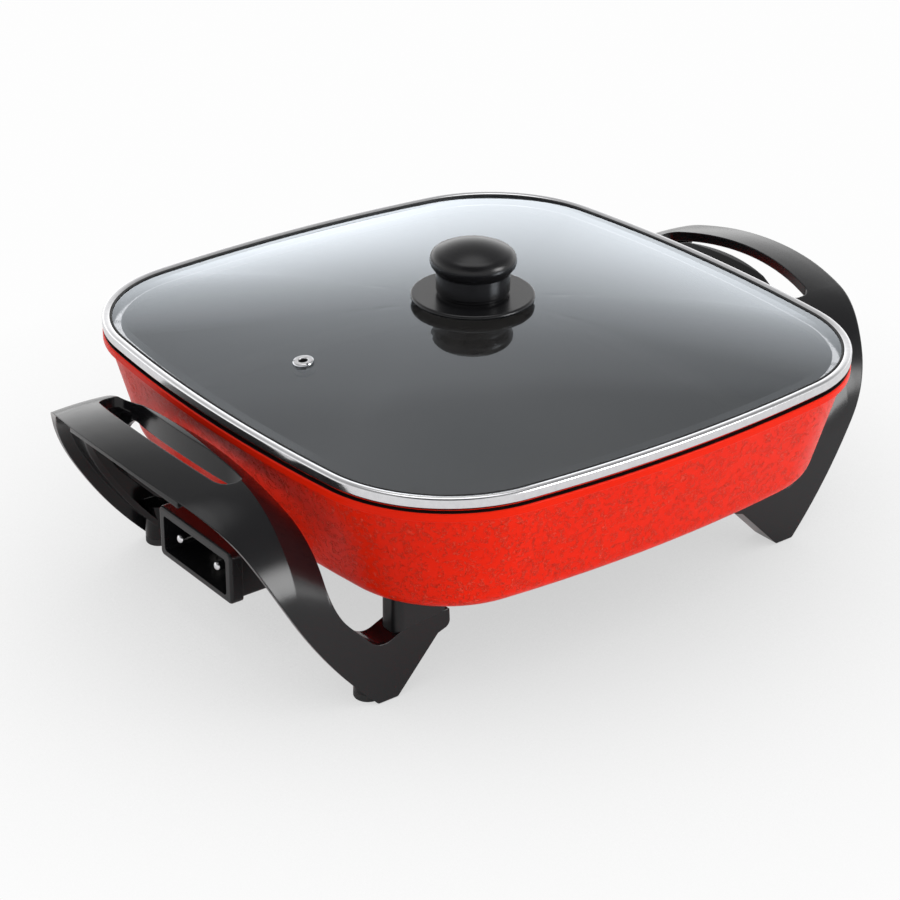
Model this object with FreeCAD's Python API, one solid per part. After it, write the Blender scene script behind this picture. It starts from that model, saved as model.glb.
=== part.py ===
import FreeCAD, Part
import math
import os

# Electric skillet, in millimetres. +X runs from the socket side to the plain side, +Y to the
# back and +Z up. The origin is on the floor, under the middle of the pan.

V = FreeCAD.Vector
X_AXIS = V(1, 0, 0)
Y_AXIS = V(0, 1, 0)
Z_AXIS = V(0, 0, 1)

# Rounded-square outline that the pan's lip and the lid's steel band share
HALF_X = 165.2
HALF_Y = 167.8
CORNER_X = 84.3
CORNER_Y = 86.9
CORNER_R = 76.0

# Pan
FLOOR_BOTTOM = 56.1
FLOOR_THICKNESS = 4.0
FLOOR_TOP = FLOOR_BOTTOM + FLOOR_THICKNESS
LIP_TOP = 119.1
LIP_BOTTOM = 114.6
LIP_OVERHANG = 3.2
SEAT_TOP = 121.1
SEAT_OUTER = 3.4
SEAT_INNER = 7.6
WALL_DRAFT = 15.0
BOTTOM_RADIUS = 12.7
INNER_RADIUS = 10.0
FLOOR_INSET = 40.0

# Element, terminals and probe under the pan
ELEMENT_Z = 47.3
ELEMENT_R = 4.0
CHANNEL_WIDTH = 15.0
PIN_Y = 17.2
PIN_R = 2.5
PIN_SHANK_R = 2.2
PIN_TIP_X = -173.7
PIN_COLLAR_X = -154.0
PIN_ROOT_X = -140.0
BLOCK_OUTER_X = -138.0
BLOCK_INNER_X = -112.0
BLOCK_HALF_Y = 24.0
BLOCK_BOTTOM = 38.0
PROBE_R = 4.3
PROBE_DEPTH = 40.0
PROBE_BOSS_R = 8.5

# Socket shroud
SHROUD_FACE_X = -174.8
SHROUD_BEZEL_DEPTH = 7.0
SHROUD_BACK_X = -147.0
SHROUD_WALL = 3.0
BEZEL_HALF_Y = 33.3
BEZEL_Z = (32.5, 61.0)
BODY_HALF_Y = 31.5
BODY_Z = (33.8, 60.0)
CAVITY_HALF_Y = 28.8
CAVITY_Z = (36.3, 56.5)
SHROUD_SCREW_Y = 9.0
SHROUD_SCREW_Z = 40.6

# Lid band and glass
BAND_BOTTOM = 121.4
BAND_TOP = 126.95
SHEET = 0.6
GLASS_BOTTOM = 122.0
GLASS_THICKNESS = 4.0
GLASS_FLAT_TOP = GLASS_BOTTOM + GLASS_THICKNESS
GLASS_EDGE = 1.7
GLASS_FLAT_INSET = 11.0
DOME_RISE = 14.7
DOME_SECTIONS = (1.0, 0.82, 0.6, 0.38, 0.15)
SKIRT_INSET = 9.6
SKIRT_BOTTOM = 117.6
VENT_X = -107.0

# Knob on the lid
GUARD_R = 32.7
GUARD_BOTTOM = 142.4
GUARD_TOP = 144.9
NECK_R = 19.4
NECK_TOP = 157.0
CAP_R = 22.7
CAP_EDGE = 161.0
CAP_TOP = 173.4
CAP_DOME_R = 40.0

# Handle mouldings: the arch from leg to leg (Y, Z), how it changes along X, and the hand slot
WALL = 3.0
CHANNEL_DEPTH = 16.0
SLOT_COLLAR_DEPTH = 5.5
SLOT_PAN_SIDE_DEPTH = 12.5
GRIP_FLANGE_DEPTH = 9.0
GRIP_FLANGE_HALF_Y = 50.0
LIP_INSET = 6.0
LEG_LEAN = 4.0
LEG_FOOT_Y = 107.7
CROWN_TOP = 121.9
CROWN_TOP_X = -195.0
CROWN_FALL = 360.0
CROWN_R = 236.0
SHOULDER_R = 62.0
RIDGE_X = -181.5
INBOARD_X = -164.0
INBOARD_TOP = 106.4
INBOARD_SHOULDER_R = 50.0
BOW_X = -223.1
BOW_R = 290.0
SLOT_HALF_Y = 57.0
FOOT_X = 138.5
FOOT_Y = 97.0
FOOT_R = 7.25
FOOT_HEIGHT = 4.0
SPACER_X = 111.5
SPACER_Y = 98.4
SPACER_SIZE = (32.0, 14.8)
SCREW_R = 2.0


def rounded_wire(corners, place):
    """Closed wire through corners (u, v, radius); place turns (u, v) into a point."""
    count = len(corners)
    arcs = []
    for i, (u, v, radius) in enumerate(corners):
        here = V(u, v, 0)
        before = (V(corners[i - 1][0], corners[i - 1][1], 0) - here).normalize()
        after = corners[(i + 1) % count]
        after = (V(after[0], after[1], 0) - here).normalize()
        if radius <= 0:
            arcs.append((here, None, here))
            continue
        half = before.getAngle(after) / 2
        bisector = (before + after).normalize()
        start = here + before * (radius / math.tan(half))
        end = here + after * (radius / math.tan(half))
        middle = here + bisector * (radius / math.sin(half) - radius)
        arcs.append((start, middle, end))
    edges = []
    for i, (start, middle, end) in enumerate(arcs):
        if middle is not None:
            points = [place(p.x, p.y) for p in (start, middle, end)]
            edges.append(Part.Arc(*points).toShape())
        following = arcs[(i + 1) % count][0]
        if (following - end).Length > 1e-4:
            edges.append(Part.makeLine(place(end.x, end.y), place(following.x, following.y)))
    return Part.Wire(edges)


def inset_corners(corners, insets):
    """Moves edge i, from corner i to the next, inwards by insets[i] on a counter-clockwise outline."""
    count = len(corners)
    lines = []
    for i in range(count):
        a = V(corners[i][0], corners[i][1], 0)
        b = V(corners[(i + 1) % count][0], corners[(i + 1) % count][1], 0)
        along = (b - a).normalize()
        inward = V(-along.y, along.x, 0)
        lines.append((a + inward * insets[i], along))
    moved = []
    for i in range(count):
        p, d = lines[i - 1]
        q, e = lines[i]
        t = ((q.x - p.x) * e.y - (q.y - p.y) * e.x) / (d.x * e.y - d.y * e.x)
        turn = d.x * e.y - d.y * e.x
        shift = min(insets[i - 1], insets[i])
        radius = corners[i][2] - shift if turn > 0 else corners[i][2] + shift
        radius = 0 if corners[i][2] <= 0 else max(radius, 0.2)
        moved.append((p.x + d.x * t, p.y + d.y * t, radius))
    return moved


def xy(z):
    return lambda u, v: V(u, v, z)


def xz(y):
    return lambda u, v: V(u, y, v)


def yz(x):
    return lambda u, v: V(x, u, v)


def prism(corners, place, run):
    """Straight extrusion of a rounded outline."""
    return Part.Face(rounded_wire(corners, place)).extrude(run)


def rectangle(low_u, low_v, high_u, high_v, radius=0):
    return [(low_u, low_v, radius), (high_u, low_v, radius),
            (high_u, high_v, radius), (low_u, high_v, radius)]


def turned(corners, centre=V(0, 0, 0)):
    """Solid of revolution about Z of a profile given as (radius from the axis, z, rounding)."""
    face = Part.Face(rounded_wire(corners, lambda r, z: centre + V(r, 0, z)))
    return face.revolve(centre, Z_AXIS, 360)


def cylinder(radius, start, end):
    run = end - start
    return Part.makeCylinder(radius, run.Length, start, run)


def fuse(shapes):
    return shapes[0].multiFuse(shapes[1:]).removeSplitter()


def one_solid(shape):
    """Gives the single solid of a boolean's result."""
    return shape.Solids[0] if len(shape.Solids) == 1 else shape


def outline_arcs(half_x, half_y, corner_x, corner_y, corner_r):
    """Eight tangent arcs (centre x, centre y, radius, from angle, to angle), counter-clockwise."""
    reach_x = half_x - corner_x
    reach_y = half_y - corner_y
    side_x = (reach_x ** 2 + corner_y ** 2 - corner_r ** 2) / (2 * (reach_x - corner_r))
    side_y = (reach_y ** 2 + corner_x ** 2 - corner_r ** 2) / (2 * (reach_y - corner_r))
    bend_x = math.atan2(corner_y, corner_x - half_x + side_x)
    bend_y = math.atan2(corner_x, corner_y - half_y + side_y)
    quarter = math.pi / 2
    arcs = []
    for turn in range(4):
        angle = turn * quarter
        along, across = (side_x, side_y) if turn % 2 == 0 else (side_y, side_x)
        half = half_x if turn % 2 == 0 else half_y
        bend, other = (bend_x, bend_y) if turn % 2 == 0 else (bend_y, bend_x)
        shift = half - along
        arcs.append((shift * math.cos(angle), shift * math.sin(angle), along,
                     angle - bend, angle + bend))
        sign_x = 1 if turn in (0, 3) else -1
        sign_y = 1 if turn in (0, 1) else -1
        arcs.append((sign_x * corner_x, sign_y * corner_y, corner_r,
                     angle + bend, angle + quarter - other))
    return arcs


PAN_ARCS = outline_arcs(HALF_X, HALF_Y, CORNER_X, CORNER_Y, CORNER_R)


def arcs_wire(arcs, inset, z):
    edges = []
    for cx, cy, radius, start, end in arcs:
        r = radius - inset
        points = [V(cx + r * math.cos(a), cy + r * math.sin(a), z)
                  for a in (start, (start + end) / 2, end)]
        edges.append(Part.Arc(*points).toShape())
    return Part.Wire(edges)


def ring(profile):
    """Sweeps a profile (inset from the outline, z, rounding) all the way round the outline."""
    sectors = []
    for cx, cy, radius, start, end in PAN_ARCS:
        ray = V(math.cos(start), math.sin(start), 0)
        centre = V(cx, cy, 0)
        def place(inset, z):
            return centre + ray * (radius - inset) + V(0, 0, z)
        face = Part.Face(rounded_wire(profile, place))
        sectors.append(face.revolve(centre, Z_AXIS, math.degrees(end - start)))
    return fuse(sectors)


def element_path():
    """The tubular element's loop, from one terminal round to the other."""
    lead, near, side, far = -88.0, -66.0, 88.0, 88.0
    hook, bend, corner = 22.0, 25.0, 33.0
    half = [
        ("line", V(PIN_ROOT_X, -PIN_Y, ELEMENT_Z), V(lead, -PIN_Y, ELEMENT_Z)),
        ("arc", V(lead, -PIN_Y - hook, ELEMENT_Z), hook, 90, 0),
        ("line", V(near, -PIN_Y - hook, ELEMENT_Z), V(near, -side + bend, ELEMENT_Z)),
        ("arc", V(near + bend, -side + bend, ELEMENT_Z), bend, 180, 270),
        ("line", V(near + bend, -side, ELEMENT_Z), V(far - corner, -side, ELEMENT_Z)),
        ("arc", V(far - corner, -side + corner, ELEMENT_Z), corner, 270, 360),
        ("line", V(far, -side + corner, ELEMENT_Z), V(far, 0, ELEMENT_Z)),
    ]
    return half


def swept(path, section):
    """Carries a section, given as (across, z) corners or a radius, along lines and arcs."""
    pieces = []
    for step in path:
        if step[0] == "line":
            start, end = step[1], step[2]
            along = (end - start).normalize()
            length = (end - start).Length
        else:
            centre, radius, first, last = step[1:]
            a = math.radians(first)
            start = centre + V(radius * math.cos(a), radius * math.sin(a), 0)
            sense = 1 if last > first else -1
            along = V(-math.sin(a), math.cos(a), 0) * sense
        across = V(along.y, -along.x, 0)
        if isinstance(section, float):
            face = Part.Face(Part.Wire(Part.makeCircle(section, start, along)))
        else:
            corners = [start + across * u + V(0, 0, w) for u, w in section]
            face = Part.Face(Part.makePolygon(corners + corners[:1]))
        if step[0] == "line":
            pieces.append(face.extrude(along * length))
        else:
            pieces.append(face.revolve(centre, Z_AXIS * sense, abs(last - first)))
    one_half = fuse(pieces)
    other_half = one_half.mirror(V(0, 0, 0), Y_AXIS)
    return one_solid(fuse([one_half, other_half]))


def four_corners(shape):
    """Copies of a shape at the four legs, by mirroring about the two middle planes."""
    left_back = shape.mirror(V(0, 0, 0), Y_AXIS)
    return [shape, left_back, shape.mirror(V(0, 0, 0), X_AXIS), left_back.mirror(V(0, 0, 0), X_AXIS)]


def make_heating_element():
    return swept(element_path(), ELEMENT_R)


def make_pan():
    draft = math.tan(math.radians(WALL_DRAFT))
    lip_foot = LIP_BOTTOM - 1.0
    outer_foot = LIP_OVERHANG + (lip_foot - FLOOR_BOTTOM) * draft
    inner_foot = SEAT_INNER + (lip_foot - FLOOR_TOP) * draft
    profile = [
        (FLOOR_INSET, FLOOR_BOTTOM, 0),
        (outer_foot, FLOOR_BOTTOM, BOTTOM_RADIUS),
        (LIP_OVERHANG, lip_foot, 1.5),
        (0, LIP_BOTTOM, 1.0),
        (0, LIP_TOP, 1.2),
        (SEAT_OUTER, LIP_TOP, 0.6),
        (SEAT_OUTER, SEAT_TOP, 0.8),
        (SEAT_INNER, SEAT_TOP, 1.2),
        (SEAT_INNER, lip_foot, 8.0),
        (inner_foot, FLOOR_TOP, INNER_RADIUS),
        (FLOOR_INSET, FLOOR_TOP, 0),
    ]
    wall = ring(profile)
    floor = Part.Face(arcs_wire(PAN_ARCS, FLOOR_INSET, FLOOR_BOTTOM)).extrude(V(0, 0, FLOOR_THICKNESS))
    sunk = FLOOR_BOTTOM + 1.0
    block = prism(rectangle(BLOCK_OUTER_X, -BLOCK_HALF_Y, BLOCK_INNER_X, BLOCK_HALF_Y, 4),
                  xy(BLOCK_BOTTOM), V(0, 0, sunk - BLOCK_BOTTOM))
    half = CHANNEL_WIDTH / 2
    rise = sunk - ELEMENT_Z
    trimmed = element_path()
    trimmed[0] = ("line", V(BLOCK_OUTER_X + 4, -PIN_Y, ELEMENT_Z), trimmed[0][2])
    channel = swept(trimmed, [(-half, 0), (half, 0), (half, rise), (-half, rise)])
    boss_end = BLOCK_OUTER_X + PROBE_DEPTH + 3
    probe_boss = cylinder(PROBE_BOSS_R, V(BLOCK_INNER_X - 1, 0, ELEMENT_Z), V(boss_end, 0, ELEMENT_Z))
    screw_boss = cylinder(5.0, V(-SPACER_X, -SPACER_Y, 50.0), V(-SPACER_X, -SPACER_Y, sunk))
    screw_hole = cylinder(SCREW_R, V(-SPACER_X, -SPACER_Y, 49.0), V(-SPACER_X, -SPACER_Y, 57.5))
    pan = fuse([wall, floor, block, channel, probe_boss] + four_corners(screw_boss))
    holes = four_corners(screw_hole)
    holes.append(make_heating_element())
    holes.append(cylinder(PROBE_R, V(BLOCK_OUTER_X - 1, 0, ELEMENT_Z),
                          V(BLOCK_OUTER_X + PROBE_DEPTH, 0, ELEMENT_Z)))
    for side in (-1, 1):
        at = V(BLOCK_OUTER_X - 1, side * SHROUD_SCREW_Y, SHROUD_SCREW_Z)
        holes.append(cylinder(1.5, at, at + V(11, 0, 0)))
    return one_solid(pan.cut(holes))


def make_terminal_pins():
    pins = []
    for side in (-1, 1):
        collar = PIN_ROOT_X - PIN_COLLAR_X
        tip = PIN_ROOT_X - PIN_TIP_X
        profile = [(0, 0, 0), (PIN_SHANK_R, 0, 0.3), (PIN_SHANK_R, collar, 0), (PIN_R, collar, 0),
                   (PIN_R, tip, 2.0), (0, tip, 0)]
        pin = turned(profile)
        pin.rotate(V(0, 0, 0), Y_AXIS, -90)
        pin.translate(V(PIN_ROOT_X, side * PIN_Y, ELEMENT_Z))
        pins.append(pin)
    return Part.Compound(pins)


def make_pin_insulators():
    bushes = []
    for side in (-1, 1):
        centre = V(0, side * PIN_Y, ELEMENT_Z)
        outer = cylinder(4.5, centre + V(SHROUD_BACK_X - 6, 0, 0), centre + V(SHROUD_BACK_X + 2, 0, 0))
        collar = cylinder(6.0, centre + V(SHROUD_BACK_X - 5, 0, 0), centre + V(SHROUD_BACK_X - 3, 0, 0))
        bore = cylinder(PIN_SHANK_R, centre + V(SHROUD_BACK_X - 7, 0, 0),
                        centre + V(SHROUD_BACK_X + 3, 0, 0))
        bushes.append(one_solid(fuse([outer, collar]).cut(bore)))
    return Part.Compound(bushes)


def make_socket_shroud():
    face = V(SHROUD_BEZEL_DEPTH, 0, 0)
    bezel = prism(rectangle(-BEZEL_HALF_Y, BEZEL_Z[0], BEZEL_HALF_Y, BEZEL_Z[1], 3), yz(SHROUD_FACE_X), face)
    rim = [e for e in bezel.Edges if abs(e.BoundBox.XMax - SHROUD_FACE_X) < 0.01]
    bezel = bezel.makeFillet(1.6, rim)
    body_start = SHROUD_FACE_X + SHROUD_BEZEL_DEPTH - 1
    body = prism(rectangle(-BODY_HALF_Y, BODY_Z[0], BODY_HALF_Y, BODY_Z[1], 2),
                 yz(body_start), V(SHROUD_BACK_X - body_start, 0, 0))
    tongue = prism(rectangle(-21.0, 37.0, 21.0, 54.0, 2),
                   yz(SHROUD_BACK_X - 1), V(BLOCK_OUTER_X - SHROUD_BACK_X + 1, 0, 0))
    cavity_end = SHROUD_BACK_X - SHROUD_WALL
    cavity = prism(rectangle(-CAVITY_HALF_Y, CAVITY_Z[0], CAVITY_HALF_Y, CAVITY_Z[1], 2),
                   yz(SHROUD_FACE_X - 1), V(cavity_end - SHROUD_FACE_X + 1, 0, 0))
    holes = [cavity]
    for y, radius in ((-PIN_Y, 4.5), (0, 6.5), (PIN_Y, 4.5)):
        at = V(cavity_end - 1, y, ELEMENT_Z)
        holes.append(cylinder(radius, at, at + V(BLOCK_OUTER_X - cavity_end + 2, 0, 0)))
    for side in (-1, 1):
        at = V(cavity_end - 1, side * SHROUD_SCREW_Y, SHROUD_SCREW_Z)
        holes.append(cylinder(1.5, at, at + V(BLOCK_OUTER_X - cavity_end + 2, 0, 0)))
    return one_solid(fuse([bezel, body, tongue]).cut(holes))


def make_shroud_screws():
    screws = []
    cavity_end = SHROUD_BACK_X - SHROUD_WALL
    profile = [(0, 0, 0), (1.5, 0, 0), (1.5, 19.0, 0), (2.8, 19.0, 0), (2.8, 21.0, 1.0), (0, 21.0, 0)]
    for side in (-1, 1):
        screw = turned(profile)
        screw.rotate(V(0, 0, 0), Y_AXIS, -90)
        screw.translate(V(cavity_end + 19.0, side * SHROUD_SCREW_Y, SHROUD_SCREW_Z))
        screws.append(screw)
    return Part.Compound(screws)


def arch_wire(x, top, shoulder_r, inset):
    """Side view (y, z) at x: leaning legs, round shoulders and a crown, all tangent."""
    lean = math.radians(LEG_LEAN)
    crown_z = top - CROWN_R
    reach = LEG_FOOT_Y - shoulder_r / math.cos(lean)
    b = reach * math.tan(lean) + crown_z
    c = reach ** 2 + crown_z ** 2 - (CROWN_R - shoulder_r) ** 2
    centre_z = (b + math.sqrt(b ** 2 - c / math.cos(lean) ** 2)) * math.cos(lean) ** 2
    centre_y = reach - centre_z * math.tan(lean)
    radius = shoulder_r - inset
    top_turn = math.atan2(centre_y, centre_z - crown_z)
    leg_turn = math.pi / 2 - lean
    floor_z = -5.0
    foot = V(x, LEG_FOOT_Y - floor_z * math.tan(lean) - inset / math.cos(lean), floor_z)
    arc = [V(x, centre_y + radius * math.sin(t), centre_z + radius * math.cos(t))
           for t in (leg_turn, (leg_turn + top_turn) / 2, top_turn)]
    def across(point):
        return V(point.x, -point.y, point.z)
    back = [foot] + arc
    front = [across(point) for point in back]
    return Part.Wire([
        Part.makeLine(front[0], back[0]),
        Part.makeLine(back[0], back[1]),
        Part.Arc(*back[1:]).toShape(),
        Part.Arc(back[3], V(x, 0, top - inset), front[3]).toShape(),
        Part.Arc(*front[:0:-1]).toShape(),
        Part.makeLine(front[1], front[0]),
    ])


def bridge_body(inset, bevelled):
    """Everything under the arches, moved inwards; a bevel can run from the ridge to the pan side."""
    crown = [arch_wire(x, CROWN_TOP - (x - CROWN_TOP_X) ** 2 / CROWN_FALL, SHOULDER_R, inset)
             for x in (BOW_X - 8, CROWN_TOP_X, RIDGE_X)]
    parts = [Part.makeLoft(crown, True, False)]
    if bevelled:
        low = arch_wire(INBOARD_X, INBOARD_TOP, INBOARD_SHOULDER_R, inset)
        parts.append(Part.makeLoft([crown[-1], low], True, True))
        parts.append(Part.Face(low).extrude(V(-85 - INBOARD_X, 0, 0)))
    else:
        parts.append(Part.Face(crown[-1]).extrude(V(-85 - RIDGE_X, 0, 0)))
    return fuse(parts)


def leg_corners(outside, inside):
    """Front view (x, z) of one leg, its arm and the grip's end, counter-clockwise."""
    corners = [
        (-139.8, 0.7, 2.0),
        (-128.0, 0.7, 1.5),
        (-102.4, 26.4, 1.0),
        (-95.0, 28.6, 4.0),
        (-95.0, 37.8, 1.0),
        (-121.5, 36.0, 8.0),
        (-137.5, 29.7, 11.0),
        (INBOARD_X, 58.1, 38.0),
        (INBOARD_X, 125.0, 0),
        (-231.5, 125.0, 0),
        (-208.7, 109.0, 70.0),
        (-174.5, 35.8, 270.0),
    ]
    insets = [inside] * 8 + [0, outside, outside, outside]
    return inset_corners(corners, insets)


def bow_disc(inset):
    """Tall disc whose rim is the grip's bowed outer edge."""
    return Part.makeCylinder(BOW_R - inset, 140, V(BOW_X + BOW_R, 0, -5))


def leg_region(outside, inside):
    """One leg's front view run from front to back, trimmed to the grip's bowed outer edge."""
    return prism(leg_corners(outside, inside), xz(-125), V(0, 250, 0)).common(bow_disc(outside))


def slot_corners(outward):
    """Plan (x, y) of the curved hand slot."""
    corners = [
        (-193.07, -SLOT_HALF_Y, 7.5),
        (-178.3, -SLOT_HALF_Y, 6.5),
        (-178.3, -44.3, 30.0),
        (-190.14, 0, 155.0),
        (-178.3, 44.3, 30.0),
        (-178.3, SLOT_HALF_Y, 6.5),
        (-193.07, SLOT_HALF_Y, 7.5),
        (-207.23, 0, 195.0),
    ]
    return inset_corners(corners, [-outward] * len(corners))


def make_left_handle():
    """Bridge moulding: a skin with a channel of walls turned in all round its edges."""
    outer = bridge_body(0, True)
    face = outer.common(leg_region(0, 0)).cut(bridge_body(WALL, True))
    band = outer.cut(bridge_body(CHANNEL_DEPTH, False))
    edge = leg_region(LIP_INSET, 0).cut(leg_region(LIP_INSET + WALL, WALL)).common(band)
    half = GRIP_FLANGE_HALF_Y
    edge = edge.cut(Part.makeBox(60, 2 * half, 60, V(-245, -half, 80)))
    grip_flange = bow_disc(LIP_INSET).cut(bow_disc(LIP_INSET + WALL))
    grip_flange = grip_flange.common(Part.makeBox(60, 2 * half, 60, V(-245, -half, 80)))
    grip_flange = grip_flange.common(outer.cut(bridge_body(GRIP_FLANGE_DEPTH, True)))
    slot = prism(slot_corners(0), xy(80), V(0, 0, 50))
    collar = prism(slot_corners(WALL), xy(80), V(0, 0, 50))
    pan_side = collar.common(Part.makeBox(20, 100, 50, V(-190, -50, 80)))
    pan_side = pan_side.common(outer.cut(bridge_body(SLOT_PAN_SIDE_DEPTH, False)))
    collar = collar.common(outer.cut(bridge_body(SLOT_COLLAR_DEPTH, True)))
    foot_boss = cylinder(FOOT_R, V(-FOOT_X, -FOOT_Y, FOOT_HEIGHT), V(-FOOT_X, -FOOT_Y, 24.0))
    screw_pad = cylinder(5.5, V(-SPACER_X, -SPACER_Y, 31.0), V(-SPACER_X, -SPACER_Y, 34.5))
    pads = [foot_boss, screw_pad]
    pads += [pad.mirror(V(0, 0, 0), Y_AXIS) for pad in pads]
    solid = fuse([face, edge, grip_flange, collar, pan_side] + pads)
    foot_room = cylinder(FOOT_R + 0.2, V(-FOOT_X, -FOOT_Y, -1), V(-FOOT_X, -FOOT_Y, FOOT_HEIGHT))
    foot_hole = cylinder(3.0, V(-FOOT_X, -FOOT_Y, 0), V(-FOOT_X, -FOOT_Y, 13.0))
    screw_hole = cylinder(SCREW_R + 0.2, V(-SPACER_X, -SPACER_Y, 30.0), V(-SPACER_X, -SPACER_Y, 40.0))
    holes = [foot_room, foot_hole, screw_hole]
    holes += [hole.mirror(V(0, 0, 0), Y_AXIS) for hole in holes]
    return one_solid(solid.cut([slot] + holes))


def make_spacer():
    """Block between a leg's arm and the pan, with a socket for the pan's boss."""
    half_x, half_y = SPACER_SIZE[0] / 2, SPACER_SIZE[1] / 2
    block = prism(rectangle(-SPACER_X - half_x, -SPACER_Y - half_y, -SPACER_X + half_x, -SPACER_Y + half_y, 5),
                  xy(30), V(0, 0, FLOOR_BOTTOM - 30))
    arm = prism(leg_corners(0, 0), xz(-125), V(0, 250, 0))
    screw = cylinder(SCREW_R + 0.2, V(-SPACER_X, -SPACER_Y, 29), V(-SPACER_X, -SPACER_Y, 60))
    boss = cylinder(5.2, V(-SPACER_X, -SPACER_Y, 49.8), V(-SPACER_X, -SPACER_Y, 60))
    return one_solid(block.cut([arm, screw, boss]))


def make_foot():
    profile = [(0, 0, 0), (FOOT_R, 0, 0.8), (FOOT_R, FOOT_HEIGHT, 0), (3.0, FOOT_HEIGHT, 0),
               (3.0, 12.0, 0.6), (0, 12.0, 0)]
    return turned(profile, V(-FOOT_X, -FOOT_Y, 0))


def make_leg_screw():
    profile = [(0, 28.4, 0), (3.0, 28.4, 0), (3.8, 29.2, 0), (3.8, 31.0, 0), (SCREW_R, 31.0, 0),
               (SCREW_R, 57.2, 0), (0, 57.2, 0)]
    return turned(profile, V(-SPACER_X, -SPACER_Y, 0))


def make_lid_rim():
    top_face = GLASS_FLAT_TOP + 0.3
    return one_solid(ring([
        (0, BAND_BOTTOM, 0.9),
        (0, 126.0, 1.5),
        (2.2, BAND_TOP, 0.8),
        (4.6, BAND_TOP - 0.1, 0.3),
        (4.6, top_face, 0),
        (0.9, top_face, 0),
        (0.9, GLASS_BOTTOM, 0),
        (SKIRT_INSET + SHEET, GLASS_BOTTOM, 0.9),
        (SKIRT_INSET + SHEET, SKIRT_BOTTOM, 0.2),
        (SKIRT_INSET, SKIRT_BOTTOM, 0.2),
        (SKIRT_INSET, BAND_BOTTOM, 0.3),
    ]))


def make_rim_seal():
    top_face = GLASS_FLAT_TOP + 0.3
    return one_solid(ring([
        (0.9, GLASS_BOTTOM, 0),
        (0.9, top_face, 0),
        (4.6, top_face, 0),
        (4.6, top_face + 0.3, 0),
        (5.4, top_face + 0.1, 0.2),
        (5.4, GLASS_FLAT_TOP, 0),
        (GLASS_EDGE, GLASS_FLAT_TOP, 0),
        (GLASS_EDGE, GLASS_BOTTOM, 0),
    ]))


def dome_wire(scale, z):
    """Section of the dome: the flat's outline made smaller and rounder towards the middle."""
    half_x = (HALF_X - GLASS_FLAT_INSET) * scale
    half_y = (HALF_Y - GLASS_FLAT_INSET) * scale
    corner_x = CORNER_X * scale ** 2
    corner_y = CORNER_Y * scale ** 2
    full_reach = math.hypot(CORNER_X, CORNER_Y) + CORNER_R - GLASS_FLAT_INSET
    mean_half = (HALF_X + HALF_Y) / 2 - GLASS_FLAT_INSET
    squareness = 1 + (full_reach / mean_half - 1) * scale ** 1.5
    corner_r = mean_half * scale * squareness - math.hypot(corner_x, corner_y)
    return arcs_wire(outline_arcs(half_x, half_y, corner_x, corner_y, corner_r), 0, z)


def dome_z(scale):
    return DOME_RISE * (1 - scale ** 2)


def dome_tilt():
    """Slope of the glass at the vent, in degrees."""
    reach = HALF_X - GLASS_FLAT_INSET
    return math.degrees(math.atan(2 * DOME_RISE * abs(VENT_X) / reach ** 2))


def vent_point():
    return V(VENT_X, 0, GLASS_FLAT_TOP + dome_z(abs(VENT_X) / (HALF_X - GLASS_FLAT_INSET)))


def on_vent(shape):
    """Moves a piece made about the origin onto the glass at the vent."""
    shape.rotate(V(0, 0, 0), Y_AXIS, -dome_tilt())
    shape.translate(vent_point())
    return shape


def make_lid_glass():
    top = Part.makeLoft([dome_wire(s, GLASS_FLAT_TOP + dome_z(s)) for s in DOME_SECTIONS], True, False)
    under = Part.makeLoft([dome_wire(s, GLASS_BOTTOM + dome_z(s)) for s in DOME_SECTIONS], True, False)
    slab = Part.Face(arcs_wire(PAN_ARCS, GLASS_EDGE, GLASS_BOTTOM)).extrude(V(0, 0, GLASS_THICKNESS))
    knob_hole = cylinder(4.0, V(0, 0, 110), V(0, 0, 150))
    vent_hole = on_vent(cylinder(3.6, V(0, 0, -8), V(0, 0, 4)))
    return one_solid(slab.fuse(top).cut([under, knob_hole, vent_hole]))


def make_steam_vent():
    profile = [(2.35, -6.0, 0.3), (5.0, -6.0, 0.4), (5.0, -5.2, 0.3), (3.4, -5.2, 0), (3.4, 0, 0),
               (5.4, 0, 0.2), (5.4, 1.6, 0.9), (2.35, 1.6, 0.6)]
    vent = turned(profile)
    notches = [Part.makeBox(2.0, 1.2, 1.0, V(4.2, -0.6, 0.9)), Part.makeBox(2.0, 1.2, 1.0, V(4.2, -0.6, 0.9))]
    notches[0].rotate(V(0, 0, 0), Z_AXIS, -100)
    notches[1].rotate(V(0, 0, 0), Z_AXIS, 140)
    return on_vent(one_solid(vent.cut(notches)))


def make_vent_gasket():
    return on_vent(turned([(3.4, -5.2, 0), (5.6, -5.2, 0), (5.6, -4.1, 0), (3.4, -4.1, 0)]))


def make_knob_guard():
    return turned([(2.2, GUARD_BOTTOM, 0), (GUARD_R, GUARD_BOTTOM, 1.2), (GUARD_R, GUARD_TOP, 1.4),
                   (2.2, GUARD_TOP, 0)])


def make_knob_gasket():
    under = GLASS_FLAT_TOP + dome_z(DOME_SECTIONS[-1])
    return turned([(2.2, under, 0), (12.0, under, 0), (12.0, GUARD_BOTTOM, 0), (2.2, GUARD_BOTTOM, 0)])


def make_knob_washer():
    top = GLASS_BOTTOM + dome_z(DOME_SECTIONS[-1])
    return turned([(2.2, top - 1.2, 0), (9.0, top - 1.2, 0.4), (9.0, top, 0), (2.2, top, 0)])


def make_knob_screw():
    seat = GLASS_BOTTOM + dome_z(DOME_SECTIONS[-1]) - 1.2
    return turned([(0, seat - 2.6, 0), (4.0, seat - 2.6, 1.2), (4.0, seat, 0), (SCREW_R, seat, 0),
                   (SCREW_R, 154.0, 0.6), (0, 154.0, 0)])


def make_knob_insert():
    return turned([(SCREW_R, 145.0, 0), (3.5, 145.0, 0), (3.5, 156.0, 0), (SCREW_R, 156.0, 0)])


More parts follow.
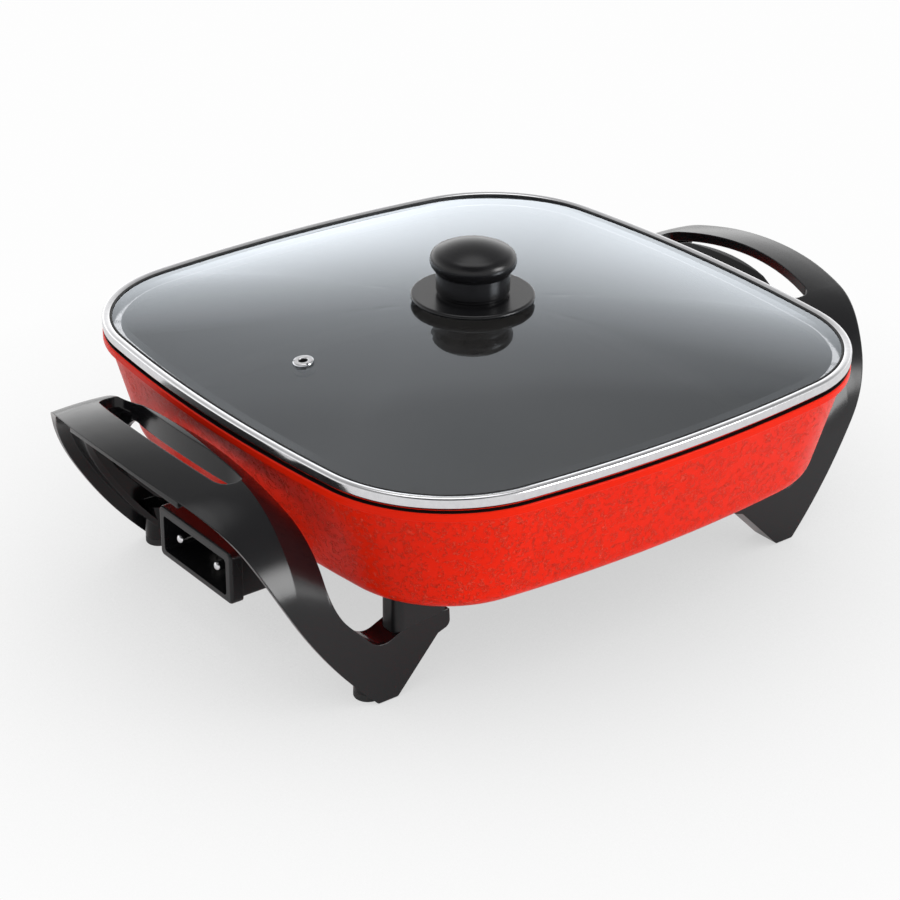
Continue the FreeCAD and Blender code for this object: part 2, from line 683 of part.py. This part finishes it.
def make_lid_knob():
    """Cap and neck, hollow underneath round a central boss for the insert."""
    turn = math.radians(25)
    dome_corner = CAP_DOME_R * math.tan(turn / 2)
    dome_foot = CAP_TOP - (CAP_R - dome_corner) * math.tan(turn)
    return turned([
        (0, 156.0, 0),
        (3.5, 156.0, 0),
        (3.5, GUARD_TOP, 0),
        (6.5, GUARD_TOP, 0.3),
        (6.5, 167.0, 2.0),
        (16.0, 167.0, 2.0),
        (16.0, GUARD_TOP, 0.4),
        (NECK_R - 1.4, GUARD_TOP, 0.2),
        (NECK_R - 1.4, 146.2, 0.3),
        (NECK_R, 147.0, 0.5),
        (NECK_R, NECK_TOP, 1.0),
        (CAP_R, CAP_EDGE, 5.0),
        (CAP_R, dome_foot, 6.0),
        (dome_corner, CAP_TOP, CAP_DOME_R),
        (0, CAP_TOP, 0),
    ])


def write(name, shape):
    shape.exportStep("parts/" + name + ".step")


def main():
    os.makedirs("parts", exist_ok=True)
    write("pan", make_pan())
    write("heating_element", make_heating_element())
    write("terminal_pins", make_terminal_pins())
    write("pin_insulators", make_pin_insulators())
    write("socket_shroud", make_socket_shroud())
    write("shroud_screws", make_shroud_screws())
    left = make_left_handle()
    right = left.copy()
    right.rotate(V(0, 0, 0), Z_AXIS, 180)
    write("left_handle", left)
    write("right_handle", right)
    corners = ("front_left", "back_left", "front_right", "back_right")
    for corner, spacer in zip(corners, four_corners(make_spacer())):
        write(corner + "_spacer", spacer)
    for corner, foot in zip(corners, four_corners(make_foot())):
        write(corner + "_foot", foot)
    write("leg_screws", Part.Compound(four_corners(make_leg_screw())))
    write("lid_glass", make_lid_glass())
    write("lid_rim", make_lid_rim())
    write("rim_seal", make_rim_seal())
    write("steam_vent", make_steam_vent())
    write("vent_gasket", make_vent_gasket())
    write("lid_knob", make_lid_knob())
    write("knob_guard", make_knob_guard())
    write("knob_gasket", make_knob_gasket())
    write("knob_washer", make_knob_washer())
    write("knob_screw", make_knob_screw())
    write("knob_insert", make_knob_insert())


main()
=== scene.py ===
import math

import bpy
import numpy as np
from mathutils import Matrix, Vector


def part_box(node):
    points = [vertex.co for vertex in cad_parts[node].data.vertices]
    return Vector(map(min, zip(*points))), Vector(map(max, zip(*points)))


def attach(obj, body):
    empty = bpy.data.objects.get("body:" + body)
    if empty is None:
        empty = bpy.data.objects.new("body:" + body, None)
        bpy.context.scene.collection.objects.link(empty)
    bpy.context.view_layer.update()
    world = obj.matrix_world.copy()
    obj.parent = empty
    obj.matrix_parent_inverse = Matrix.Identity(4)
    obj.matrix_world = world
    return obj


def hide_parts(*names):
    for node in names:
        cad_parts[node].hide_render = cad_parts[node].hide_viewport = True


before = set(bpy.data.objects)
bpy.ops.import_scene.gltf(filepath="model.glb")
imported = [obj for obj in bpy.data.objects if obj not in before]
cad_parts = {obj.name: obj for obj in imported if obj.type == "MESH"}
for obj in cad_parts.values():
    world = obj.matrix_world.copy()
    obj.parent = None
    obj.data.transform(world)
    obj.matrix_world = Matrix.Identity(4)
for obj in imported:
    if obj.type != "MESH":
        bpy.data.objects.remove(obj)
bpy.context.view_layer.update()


# The camera. It stands in front of the socket corner, a little above the lid, with a long lens,
# so the square pan keeps nearly parallel sides.
CAMERA_TURN = math.radians(-37.789)
CAMERA_LIFT = math.radians(26.807)
CAMERA_ROLL = math.radians(0.538)
CAMERA_DISTANCE = 1.276215
CAMERA_LENS = 96.10
CAMERA_AIM = Vector((-0.01744, -0.004347, 0.059645))

towards = Vector((math.sin(CAMERA_TURN) * math.cos(CAMERA_LIFT),
                  -math.cos(CAMERA_TURN) * math.cos(CAMERA_LIFT), math.sin(CAMERA_LIFT)))
level = Vector((math.cos(CAMERA_TURN), math.sin(CAMERA_TURN), 0))
upward = towards.cross(level)
right = level * math.cos(CAMERA_ROLL) + upward * math.sin(CAMERA_ROLL)
upward = upward * math.cos(CAMERA_ROLL) - level * math.sin(CAMERA_ROLL)
place = CAMERA_AIM + towards * CAMERA_DISTANCE
camera = bpy.data.objects.new("camera", bpy.data.cameras.new("camera"))
camera.data.lens = CAMERA_LENS
camera.matrix_world = Matrix([(*row, spot) for row, spot in zip(zip(right, upward, towards), place)]
                             + [(0, 0, 0, 1)])
bpy.context.scene.collection.objects.link(camera)
bpy.context.scene.camera = camera


# The floor and the studio. A seamless white sheet runs under the skillet. Bright walls fade with
# height to a lit ceiling, with one broad soft lamp low at the front right and, in mirrors only, a
# dark gap above the camera. The sheet shows white to the camera, with a soft shadow.
SHEET_HALF = 8.0
SHEET_COLOR = (0.92, 0.92, 0.92, 1)
SHEET_WHITE = 0.985
SHEET_GLOW = 0.5
SHADOW_REACH = 0.26
SHADOW_DEPTH = 0.56
SHADOW_SAMPLES = 4
BACK_WALL = (0.26, 0.966, 0)
BACK_WALL_SHARE = 0.50
SIDE_WALLS_SHARE = 0.55
WALL_PEAK = 1.8
WALL_BY_HEIGHT = [(0.0, 1.0), (0.09, 1.0), (0.17, 0.90), (0.34, 0.68), (0.50, 0.47), (0.57, 0.42),
                  (0.60, 0.34), (0.75, 0.32)]
CEILING_STRENGTH = 1.6
CEILING_EDGE = 0.86
CEILING_CORE = 0.97
LAMP_FROM = (0.506, -0.841, 0.191)
LAMP_STRENGTH = 9.5
LAMP_EDGE = 0.955
LAMP_CORE = 0.998
DARK_FROM = (-0.433, -0.559, 0.707)
DARK_EDGE = 0.82
DARK_CORE = 0.94
DARK_SHARE = 0.75
WHITE = (1, 1, 1, 1)
bpy.context.scene.view_settings.view_transform = "Standard"


class Socket:
    """An output of a shader node. Arithmetic on it adds Math nodes to the same tree."""

    def __init__(self, finish, socket):
        self.finish = finish
        self.socket = socket

    def __add__(self, other):
        return self.finish.number("ADD", self, other)

    def __radd__(self, other):
        return self.finish.number("ADD", other, self)

    def __sub__(self, other):
        return self.finish.number("SUBTRACT", self, other)

    def __rsub__(self, other):
        return self.finish.number("SUBTRACT", other, self)

    def __mul__(self, other):
        return self.finish.number("MULTIPLY", self, other)

    def __rmul__(self, other):
        return self.finish.number("MULTIPLY", other, self)

    def __gt__(self, other):
        return self.finish.number("GREATER_THAN", self, other)

    def __lt__(self, other):
        return self.finish.number("LESS_THAN", self, other)


class Finish:
    """A material, or the world, put together node by node."""

    def __init__(self, owner):
        owner.use_nodes = True
        self.owner = owner
        self.tree = owner.node_tree
        self.tree.nodes.clear()

    def node(self, kind, settings={}, values={}, output=0):
        """Adds a node, with its settings first, then its sockets' values or links."""
        made = self.tree.nodes.new(kind)
        for name, value in settings.items():
            if name == "stops":
                ramp = made.color_ramp
                while len(ramp.elements) < len(value):
                    ramp.elements.new(0.5)
                for element, (position, color) in zip(ramp.elements, value):
                    element.position = position
                    element.color = color
            else:
                setattr(made, name, value)
        for name, value in values.items():
            if isinstance(value, Socket):
                self.tree.links.new(value.socket, made.inputs[name])
            else:
                made.inputs[name].default_value = value
        return Socket(self, made.outputs[output] if len(made.outputs) else None)

    def number(self, operation, *values):
        """Adds a Math node."""
        return self.node("ShaderNodeMath", {"operation": operation}, dict(enumerate(values)))

    def vector(self, operation, *values):
        """Adds a Vector Math node."""
        output = "Value" if operation == "DOT_PRODUCT" else "Vector"
        return self.node("ShaderNodeVectorMath", {"operation": operation}, dict(enumerate(values)), output)

    def upward_part(self, vector):
        """A vector's Z."""
        return self.node("ShaderNodeSeparateXYZ", {}, {0: vector}, "Z")

    def eased(self, value, start, end, before, after):
        """Turns smoothly from one number to the other while the value goes from start to end."""
        return self.node("ShaderNodeMapRange", {"interpolation_type": "SMOOTHSTEP"}, {
            0: value, 1: start, 2: end, 3: before, 4: after})

    def mix_color(self, factor, first, second):
        """Goes from the first colour to the second as the factor goes from 0 to 1."""
        return self.node("ShaderNodeMix", {"data_type": "RGBA"}, {0: factor, 6: first, 7: second}, 2)

    def grey_noise(self, scale, detail=2.0, distortion=0.0):
        """Grey noise that is fixed to the piece, with this many waves to the metre."""
        return self.node("ShaderNodeTexNoise", {}, {
            "Vector": self.node("ShaderNodeTexCoord", output="Object"), "Scale": scale, "Detail": detail,
            "Distortion": distortion})

    def finish_with(self, surface):
        """Ends the material with its surface shader and gives it back."""
        self.node("ShaderNodeOutputMaterial", {}, {"Surface": surface})
        return self.owner


paper = Finish(bpy.data.materials.new("white_sheet"))
openness = paper.node("ShaderNodeAmbientOcclusion", {"samples": SHADOW_SAMPLES}, {
    "Distance": SHADOW_REACH}, "AO")
soft_shadow = paper.node("ShaderNodeMapRange", {}, {
    0: openness, 1: 0.0, 2: 1.0, 3: SHADOW_DEPTH, 4: SHEET_WHITE})
shown = paper.node("ShaderNodeEmission", {}, {"Strength": soft_shadow})
lit = paper.node("ShaderNodeBsdfDiffuse", {}, {"Color": SHEET_COLOR})
watched = paper.node("ShaderNodeLightPath", output="Is Camera Ray")
mirrored = paper.node("ShaderNodeLightPath", output="Is Glossy Ray")
shown_share = paper.number("MAXIMUM", watched, mirrored * SHEET_GLOW)
white_sheet = paper.finish_with(paper.node("ShaderNodeMixShader", {}, {0: shown_share, 1: lit, 2: shown}))
sheet_mesh = bpy.data.meshes.new("white_sheet")
sheet_mesh.from_pydata([(-SHEET_HALF, -SHEET_HALF, 0), (SHEET_HALF, -SHEET_HALF, 0),
                        (SHEET_HALF, SHEET_HALF, 0), (-SHEET_HALF, SHEET_HALF, 0)], [], [(0, 1, 2, 3)])
sheet_mesh.materials.append(white_sheet)
sheet = bpy.data.objects.new("white_sheet", sheet_mesh)
bpy.context.scene.collection.objects.link(sheet)

bpy.context.scene.world = bpy.data.worlds.new("studio")
studio = Finish(bpy.context.scene.world)
direction = studio.node("ShaderNodeTexCoord", output="Generated")
height = studio.upward_part(direction)
by_height = studio.node("ShaderNodeValToRGB", {"stops": [
    (stop, (share, share, share, 1)) for stop, share in WALL_BY_HEIGHT]}, {0: height})
to_back = studio.number("MAXIMUM", studio.vector("DOT_PRODUCT", direction, BACK_WALL), 0.0)
wall_share = to_back * BACK_WALL_SHARE + SIDE_WALLS_SHARE
to_lamp = studio.vector("DOT_PRODUCT", direction, LAMP_FROM)
lamp = studio.eased(to_lamp, LAMP_EDGE, LAMP_CORE, 0.0, LAMP_STRENGTH)
ceiling = studio.eased(height, CEILING_EDGE, CEILING_CORE, 0.0, CEILING_STRENGTH)
to_dark = studio.vector("DOT_PRODUCT", direction, DARK_FROM)
dark = studio.eased(to_dark, DARK_EDGE, DARK_CORE, 0.0, DARK_SHARE)
in_mirror = studio.node("ShaderNodeLightPath", output="Is Glossy Ray")
light = (wall_share * by_height * WALL_PEAK + lamp + ceiling) * (1.0 - dark * in_mirror)
room = studio.node("ShaderNodeBackground", {}, {0: WHITE, 1: light})
backdrop = studio.node("ShaderNodeBackground", {}, {0: WHITE, 1: 1.0})
in_picture = studio.node("ShaderNodeLightPath", output="Is Camera Ray")
studio.node("ShaderNodeOutputWorld", {}, {"Surface": studio.node(
    "ShaderNodeMixShader", {}, {0: in_picture, 1: room, 2: backdrop})})


# The pan. One aluminium casting, with red enamel over a wall embossed with fine curls outside, a
# smooth turned lip, and a dark non-stick coat with fine specks inside.
RED = (0.90, 0.022, 0.004, 1)
RED_DEEP = (0.84, 0.016, 0.003, 1)
# Painted highlight: the curls are painted a lighter red, standing in for glints of the lamp on their crests.
RED_PAINTED_GLINT = (1.0, 0.110, 0.060, 1)
PAINTED_GLINT_SHARE = 0.55
CLOUD_SCALE = 40.0
COAT = (0.048, 0.046, 0.045, 1)
COAT_SPECK = (0.085, 0.083, 0.08, 1)
SPECK_SCALE = 1500.0
SPECK_LEVEL = 0.68
# Painted shade: above this height the rim's dark coat is painted darker still, near black, for the shade in
# the gap under the lid's band.
COAT_EDGE_PAINTED_SHADE = (0.010, 0.010, 0.010, 1)
PAINTED_SHADE_FOOT = 0.1183
CURL_SCALE = 260.0
CURL_BEND = 1.6
CURL_WIDTH = 0.055
CURL_HEIGHT = 0.0005
GAP_SCALE = 300.0
GAP_START = 0.42
GAP_END = 0.56
CURLS_TOP = 0.1110
LIP_FOOT = 0.1140
RING_FOOT = 0.1195
INSIDE_FOOT = 0.0596
LEVEL_FACE = 0.85
RED_ROUGHNESS = 0.30
COAT_ROUGHNESS = 0.38
PAN_SHINE = 0.06
SIDEWAYS = (1, 1, 0)


def dress(material, *nodes):
    """Gives the CAD nodes their finish."""
    for node in nodes:
        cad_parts[node].material_slots[0].material = material


enamel = Finish(bpy.data.materials.new("red_enamel"))
spot = enamel.node("ShaderNodeTexCoord", output="Object")
spot_z = enamel.upward_part(spot)
facing = enamel.node("ShaderNodeNewGeometry", output="True Normal")
outward = enamel.vector("DOT_PRODUCT", facing, enamel.vector("MULTIPLY", spot, SIDEWAYS))
flat_inside = enamel.upward_part(facing) > LEVEL_FACE
wall_inside = (outward < 0.0) * (spot_z > INSIDE_FOOT)
inside = enamel.number("MAXIMUM", enamel.number("MAXIMUM", flat_inside, wall_inside), spot_z > RING_FOOT)
off_line = enamel.number("ABSOLUTE", enamel.grey_noise(CURL_SCALE, 2.0, CURL_BEND) - 0.5)
line = enamel.eased(off_line, 0.0, CURL_WIDTH, 1.0, 0.0)
broken = enamel.eased(enamel.grey_noise(GAP_SCALE, 1.0), GAP_START, GAP_END, 0.0, 1.0)
below_lip = enamel.eased(spot_z, CURLS_TOP, LIP_FOOT, 1.0, 0.0)
curls = line * broken * below_lip * (1.0 - inside)
embossed = enamel.node("ShaderNodeBump", {}, {"Strength": 1.0, "Distance": CURL_HEIGHT, "Height": curls})
clouded_red = enamel.mix_color(enamel.grey_noise(CLOUD_SCALE), RED_DEEP, RED)
# Painted highlight: the curl lines get the lighter red, standing in for glints.
red = enamel.mix_color(curls * PAINTED_GLINT_SHARE, clouded_red, RED_PAINTED_GLINT)
specks = enamel.grey_noise(SPECK_SCALE, 1.0) > SPECK_LEVEL
# The coat on the rim's top is the real dark coat, painted darker still as painted shade in the gap under the
# band.
coat = enamel.mix_color(spot_z > PAINTED_SHADE_FOOT, enamel.mix_color(specks, COAT, COAT_SPECK), COAT_EDGE_PAINTED_SHADE)
pan_rough = enamel.node("ShaderNodeMix", {}, {0: inside, 2: RED_ROUGHNESS, 3: COAT_ROUGHNESS})
red_enamel = enamel.finish_with(enamel.node("ShaderNodeBsdfPrincipled", {}, {
    "Base Color": enamel.mix_color(inside, red, coat), "Roughness": pan_rough, "Normal": embossed,
    "Specular IOR Level": PAN_SHINE}))
dress(red_enamel, "pan")


# The two handles, the socket and the knob's plastic. Black phenolic, moulded hot in polished
# steel tools, so it is glossy with faint flow waves, and its edges are slightly rounded.
PHENOLIC = (0.006, 0.006, 0.007, 1)
PHENOLIC_WORN = (0.010, 0.010, 0.011, 1)
PHENOLIC_SHINE = 0.36
WAVE_SCALE = 55.0
WAVE_ROUGHNESS = 0.08
PEEL_SCALE = 900.0
PEEL_SHARE = 0.2
PEEL_DEPTH = 0.0004
PEEL_STRENGTH = 0.05
EDGE_SAMPLES = 6


def phenolic(name, roughness, edge):
    """Black moulded plastic: faint waves in the gloss and a small radius on every edge."""
    moulding = Finish(bpy.data.materials.new(name))
    waves = moulding.grey_noise(WAVE_SCALE)
    peel = moulding.grey_noise(PEEL_SCALE)
    rounded = moulding.node("ShaderNodeBevel", {"samples": EDGE_SAMPLES}, {"Radius": edge})
    rippled = moulding.node("ShaderNodeBump", {}, {
        "Strength": PEEL_STRENGTH, "Distance": PEEL_DEPTH, "Height": waves + peel * PEEL_SHARE,
        "Normal": rounded})
    return moulding.finish_with(moulding.node("ShaderNodeBsdfPrincipled", {}, {
        "Base Color": moulding.mix_color(peel, PHENOLIC, PHENOLIC_WORN),
        "Roughness": waves * WAVE_ROUGHNESS + roughness, "Normal": rippled,
        "Specular IOR Level": PHENOLIC_SHINE}))


dress(phenolic("handle_black", 0.14, 0.0009), "left_handle", "right_handle")
dress(phenolic("socket_black", 0.22, 0.0005), "socket_shroud")
dress(phenolic("knob_black", 0.20, 0.0004), "lid_knob", "knob_guard")
dress(phenolic("spacer_black", 0.34, 0.0006),
      "front_left_spacer", "back_left_spacer", "front_right_spacer", "back_right_spacer")


# The feet, the seals and the gaskets. Black rubber and silicone, matt with a fine grain.
RUBBER = (0.016, 0.016, 0.017, 1)
RUBBER_DUST = (0.032, 0.032, 0.033, 1)
RUBBER_ROUGHNESS = 0.55
GRAIN_ROUGHNESS = 0.2
GRAIN_SCALE = 1200.0
GRAIN_STRENGTH = 0.2
GRAIN_DEPTH = 0.0002

rubber = Finish(bpy.data.materials.new("black_rubber"))
grain = rubber.grey_noise(GRAIN_SCALE, 3.0)
grainy = rubber.node("ShaderNodeBump", {}, {
    "Strength": GRAIN_STRENGTH, "Distance": GRAIN_DEPTH, "Height": grain})
black_rubber = rubber.finish_with(rubber.node("ShaderNodeBsdfPrincipled", {}, {
    "Base Color": rubber.mix_color(grain, RUBBER, RUBBER_DUST),
    "Roughness": grain * GRAIN_ROUGHNESS + RUBBER_ROUGHNESS, "Normal": grainy}))
dress(black_rubber, "front_left_foot", "back_left_foot", "front_right_foot", "back_right_foot",
      "rim_seal", "vent_gasket", "knob_gasket")


# The bright metal. The lid's rolled band and the steam vent are polished stainless steel, and the
# pins and screws are plated.
STEEL = (0.80, 0.80, 0.81, 1)
STEEL_SHADE = (0.66, 0.66, 0.68, 1)
STREAK_ROUGHNESS = 0.06


def bright_steel(name, roughness, streaks):
    """Steel with fine streaks in its gloss."""
    metal = Finish(bpy.data.materials.new(name))
    streak = metal.grey_noise(streaks)
    return metal.finish_with(metal.node("ShaderNodeBsdfPrincipled", {}, {
        "Base Color": metal.mix_color(streak, STEEL, STEEL_SHADE), "Metallic": 1.0,
        "Roughness": streak * STREAK_ROUGHNESS + roughness}))


polished_steel = bright_steel("polished_steel", 0.13, 400.0)
dress(polished_steel, "lid_rim", "steam_vent")
dress(bright_steel("plated_steel", 0.16, 900.0),
      "terminal_pins", "shroud_screws", "leg_screws", "knob_washer", "knob_screw")


# The lid's band, one strip of stainless steel rolled smooth. A flank stands round the glass edge,
# a rounded bead closes over the seal, and a flange under the glass folds down as the skirt that
# keeps the lid in place in the pan.
CORNER_PLACE = (0.0843, 0.0869)
CORNER_RADIUS = 0.0760
ARC_STEPS = 44
FOOT_STEPS = 8
BEAD_STEPS = 14
FALL_STEPS = 12
FOOT_RADIUS = 0.0009
BEAD_RADIUS = 0.00155
BEAD_FALL = 0.00305
BEAD_HEIGHT = 0.1254
BEAD_END = math.radians(54)
FLANGE_BOTTOM = 0.1214
FLANGE_TOP = 0.1220
SEAL_TOP = 0.1263
SKIRT_OUTSIDE = 0.0096
SKIRT_INSIDE = 0.0102
SKIRT_FOOT = 0.1176
FOLD = 0.0003
SHARP_FROM = math.radians(35)


def lid_outline():
    """Centre, radius and angle of each step round the lid. Eight arcs meet without a kink: four
    corner arcs about CORNER_PLACE, and four side arcs about a centre on the axis. With reach as the
    way from the corner's place out to the side, a side's radius is reach squared plus the corner's
    other place squared less the corner's radius squared, over twice the reach less that radius."""
    low, high = (np.array(corner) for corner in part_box("lid_rim"))
    half = (high - low)[:2] / 2
    corner = np.array(CORNER_PLACE)
    reach = half - corner
    side = (reach ** 2 + corner[::-1] ** 2 - CORNER_RADIUS ** 2) / (2 * (reach - CORNER_RADIUS))
    bend = np.arctan2(corner[::-1], corner - half + side)
    share = np.arange(ARC_STEPS) / ARC_STEPS
    centres, radii, angles = [], [], []
    for turn in range(4):
        axis = turn % 2
        facing = turn * math.pi / 2
        side_centre = np.array([math.cos(facing), math.sin(facing)]) * (half[axis] - side[axis])
        corner_centre = corner * (1 if turn in (0, 3) else -1, 1 if turn in (0, 1) else -1)
        for centre, radius, start, end in (
                (side_centre, side[axis], facing - bend[axis], facing + bend[axis]),
                (corner_centre, CORNER_RADIUS, facing + bend[axis], facing + math.pi / 2 - bend[1 - axis])):
            centres.append(np.tile(centre, (ARC_STEPS, 1)))
            radii.append(np.full(ARC_STEPS, radius))
            angles.append(start + (end - start) * share)
    return np.concatenate(centres), np.concatenate(radii), np.concatenate(angles)


def carried_round(section):
    """Points and faces of a closed section carried round the lid. A point of the section goes out
    from the arc's centre along the ray, by the arc's radius less the point's inset, and keeps its
    height."""
    centres, radii, angles = lid_outline()
    rays = np.stack([np.cos(angles), np.sin(angles)], axis=1)
    reach = radii[:, None] - section[None, :, 0]
    flat = centres[:, None, :] + reach[:, :, None] * rays[:, None, :]
    heights = np.broadcast_to(section[None, :, 1:], (len(radii), len(section), 1))
    points = np.concatenate([flat, heights], axis=2).reshape(-1, 3)
    steps, places = np.meshgrid(np.arange(len(radii)), np.arange(len(section)), indexing="ij")
    next_step = (steps + 1) % len(radii) * len(section)
    next_place = (places + 1) % len(section)
    steps = steps * len(section)
    faces = np.stack([steps + places, next_step + places, next_step + next_place, steps + next_place], axis=2)
    return points, faces.reshape(-1, 4)


def ellipse_part(middle, across, up, start, end, steps):
    """Points of a section on part of an ellipse. At each angle from start to end, the inset is the
    middle's less across times the cosine, and the height is the middle's plus up times the sine."""
    turn = np.linspace(start, end, steps)
    return np.stack([middle[0] - across * np.cos(turn), middle[1] + up * np.sin(turn)], axis=1)


foot_middle = (FOOT_RADIUS, FLANGE_BOTTOM + FOOT_RADIUS)
bead_middle = (BEAD_RADIUS, BEAD_HEIGHT)
bead_top = math.pi / 2
band_section = np.concatenate([
    ellipse_part(foot_middle, FOOT_RADIUS, FOOT_RADIUS, -math.pi / 2, 0, FOOT_STEPS),
    ellipse_part(bead_middle, BEAD_RADIUS, BEAD_RADIUS, 0, bead_top, BEAD_STEPS),
    ellipse_part(bead_middle, BEAD_FALL, BEAD_RADIUS, bead_top, bead_top + BEAD_END, FALL_STEPS)[1:],
    [(FOOT_RADIUS, SEAL_TOP), (FOOT_RADIUS, FLANGE_TOP), (SKIRT_INSIDE - FOLD, FLANGE_TOP),
     (SKIRT_INSIDE, FLANGE_TOP - FOLD), (SKIRT_INSIDE, SKIRT_FOOT + FOLD), (SKIRT_INSIDE - FOLD, SKIRT_FOOT),
     (SKIRT_OUTSIDE, SKIRT_FOOT + FOLD), (SKIRT_OUTSIDE, FLANGE_BOTTOM)]])
band_points, band_faces = carried_round(band_section)
band_mesh = bpy.data.meshes.new("lid_band")
band_mesh.from_pydata(band_points.tolist(), [], band_faces.tolist())
band_mesh.polygons.foreach_set("use_smooth", np.ones(len(band_mesh.polygons), dtype=bool))
band_mesh.set_sharp_from_angle(angle=SHARP_FROM)
band_mesh.materials.append(polished_steel)
lid_band = bpy.data.objects.new("lid_band", band_mesh)
bpy.context.scene.collection.objects.link(lid_band)
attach(lid_band, "lid")
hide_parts("lid_rim")


# The heating element's sheath is dull drawn aluminium, the pins' bushes are unglazed ceramic and
# the knob's insert is turned brass.
TONE_ROUGHNESS = 0.15


def plain_finish(name, first, second, scale, roughness, metallic):
    """A colour that wanders a little between two tones, with matching roughness."""
    finish = Finish(bpy.data.materials.new(name))
    tone = finish.grey_noise(scale, 3.0)
    return finish.finish_with(finish.node("ShaderNodeBsdfPrincipled", {}, {
        "Base Color": finish.mix_color(tone, first, second), "Metallic": metallic,
        "Roughness": tone * TONE_ROUGHNESS + roughness}))


element_sheath = plain_finish(
    "element_sheath", (0.40, 0.40, 0.41, 1), (0.30, 0.30, 0.31, 1), 300.0, 0.38, 1.0)
dress(element_sheath, "heating_element")
ceramic = plain_finish("ceramic", (0.82, 0.80, 0.75, 1), (0.74, 0.71, 0.66, 1), 700.0, 0.6, 0.0)
dress(ceramic, "pin_insulators")
turned_brass = plain_finish("turned_brass", (0.72, 0.52, 0.22, 1), (0.62, 0.44, 0.18, 1), 900.0, 0.22, 1.0)
dress(turned_brass, "knob_insert")


# The lid's glass. A tempered sheet 4 mm thick, pressed to a shallow dome. Its margin looks slightly
# turned down to the band. It lets the pan show through, and mirrors the studio and the knob.
MARGIN_TOP = 0.1275
MARGIN_FALL = 0.13
LEVEL_GLASS = 0.9995
GLASS_TINT = (0.96, 0.96, 0.96, 1)
GLASS_SHINE = (0.88, 0.94, 1.0, 1)
GLASS_ROUGHNESS = 0.03
GLASS_IOR = 1.5
BOTH_SURFACES = 1.95

pane = Finish(bpy.data.materials.new("tempered_glass"))
place_on_lid = pane.node("ShaderNodeTexCoord", output="Object")
lid_normal = pane.node("ShaderNodeNewGeometry", output="Normal")
margin = (pane.upward_part(lid_normal) > LEVEL_GLASS) * (pane.upward_part(place_on_lid) < MARGIN_TOP)
flat_place = pane.vector("MULTIPLY", place_on_lid, SIDEWAYS)
squared = pane.vector("MULTIPLY", flat_place, flat_place)
away = pane.vector("NORMALIZE", pane.vector("MULTIPLY", squared, flat_place))
turned_down = pane.node("ShaderNodeVectorMath", {"operation": "SCALE"}, {
    0: away, "Scale": margin * MARGIN_FALL})
margin_normal = pane.vector("NORMALIZE", pane.vector("ADD", lid_normal, turned_down))
from_inside = pane.node("ShaderNodeNewGeometry", output="Backfacing")
one_surface = pane.node("ShaderNodeFresnel", {}, {"IOR": GLASS_IOR, "Normal": margin_normal})
mirror_share = one_surface * BOTH_SURFACES * (1.0 - from_inside)
clear = pane.node("ShaderNodeBsdfTransparent", {}, {"Color": GLASS_TINT})
gloss = pane.node("ShaderNodeBsdfAnisotropic", {}, {
    "Color": GLASS_SHINE, "Roughness": GLASS_ROUGHNESS, "Normal": margin_normal})
tempered_glass = pane.finish_with(pane.node("ShaderNodeMixShader", {}, {
    0: mirror_share, 1: clear, 2: gloss}))
dress(tempered_glass, "lid_glass")
